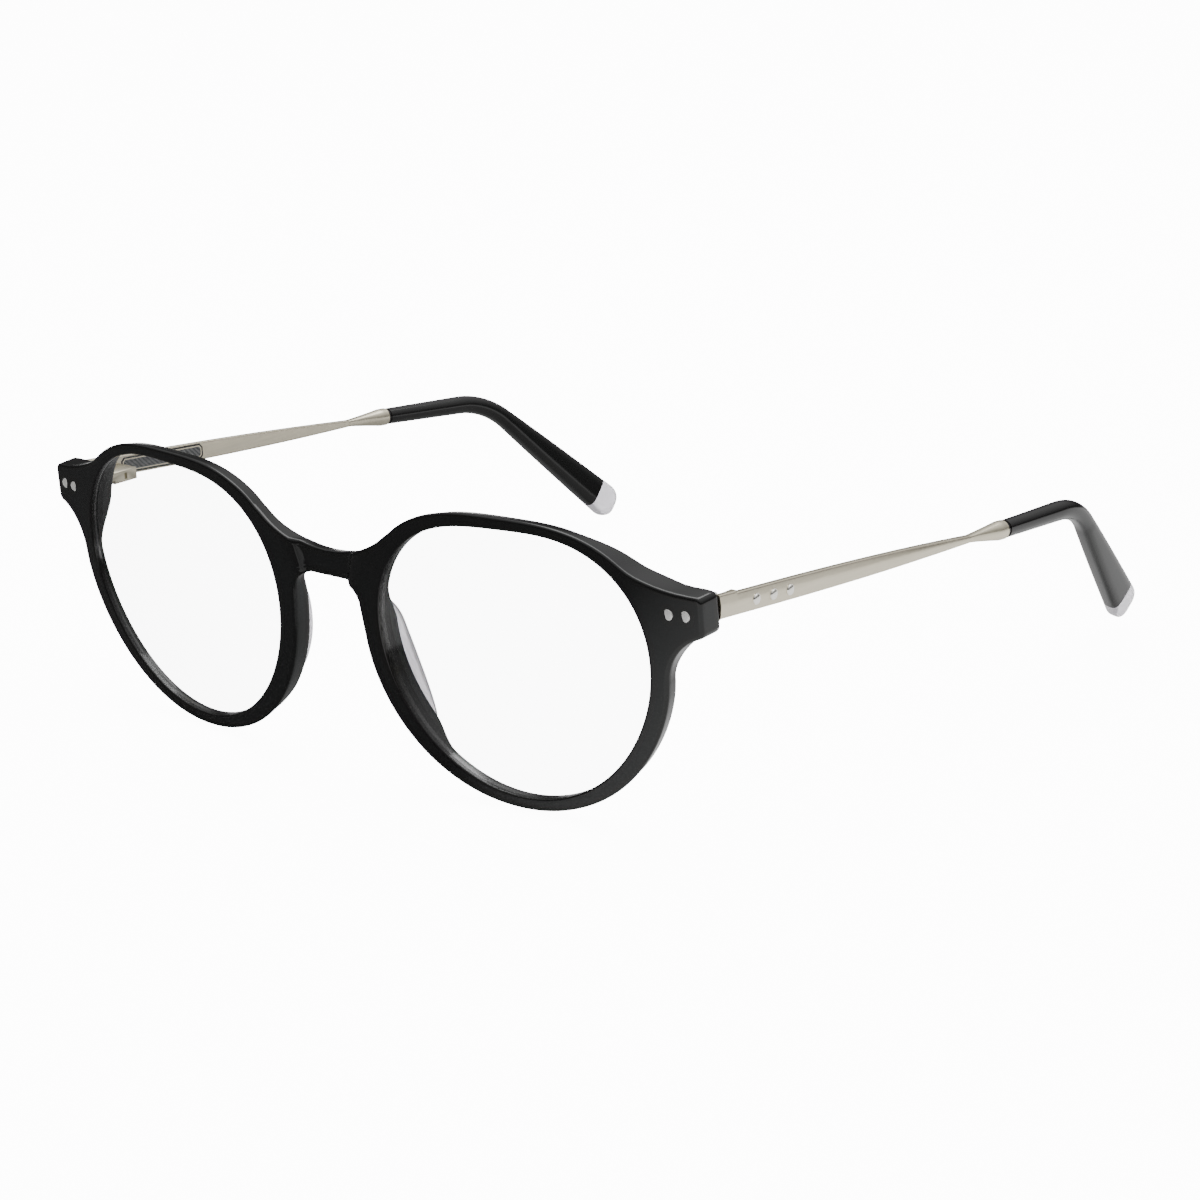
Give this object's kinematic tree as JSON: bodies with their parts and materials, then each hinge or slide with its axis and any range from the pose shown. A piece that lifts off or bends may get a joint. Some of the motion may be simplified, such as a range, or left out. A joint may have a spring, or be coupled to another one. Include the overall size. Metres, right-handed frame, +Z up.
{
  "type": "eyeglasses",
  "caption": "Round full-rim spectacles: thick black front with flush rivets, flat metal temples that fold on screw hinges, bent black ear tips with clear ends.",
  "frame": {"origin": "middle of the object's footprint, on the surface that the lower rims and the ear tips stand on", "axes": "+Z up; -Y is the way the wearer looks; +X is the wearer's left"},
  "size_m": [0.1352, 0.126, 0.0447],
  "materials": {
    "black_acetate": "polished black cellulose acetate",
    "lens": "clear plano demonstration lens",
    "clear_acetate": "polished clear crystal acetate",
    "satin_metal": "satin nickel silver",
    "bright_metal": "polished nickel",
    "dark_inlay": "dark enamel fill",
    "core_metal": "drawn nickel silver wire"
  },
  "bodies": {
    "front": {"front_frame": "black_acetate", "lens_right": "lens", "lens_left": "lens", "nose_pad_right": "clear_acetate", "nose_pad_left": "clear_acetate", "front_hinge_right": "satin_metal", "front_hinge_left": "satin_metal", "front_rivets_right": "bright_metal", "front_rivets_left": "bright_metal", "hinge_screw_right": "bright_metal", "hinge_screw_left": "bright_metal"},
    "temple_right": {"temple_arm_right": "satin_metal", "temple_hinge_right": "satin_metal", "temple_studs_right": "bright_metal", "temple_inlay_right": "dark_inlay", "temple_collar_right": "satin_metal", "temple_tip_right": "black_acetate", "tip_end_right": "clear_acetate", "core_wire_right": "core_metal"},
    "temple_left": {"temple_arm_left": "satin_metal", "temple_hinge_left": "satin_metal", "temple_studs_left": "bright_metal", "temple_inlay_left": "dark_inlay", "temple_collar_left": "satin_metal", "temple_tip_left": "black_acetate", "tip_end_left": "clear_acetate", "core_wire_left": "core_metal"}
  },
  "joints": [
    {"name": "temple_right_fold", "type": "hinge", "parent": "front", "child": "temple_right", "pos_m": [-0.0636, -0.05012, 0.0333], "axis": [0, 0, -1], "range_deg": [0, 85]},
    {"name": "temple_left_fold", "type": "hinge", "parent": "front", "child": "temple_left", "pos_m": [0.0636, -0.05012, 0.0333], "axis": [0, 0, 1], "range_deg": [0, 79]}
  ]
}
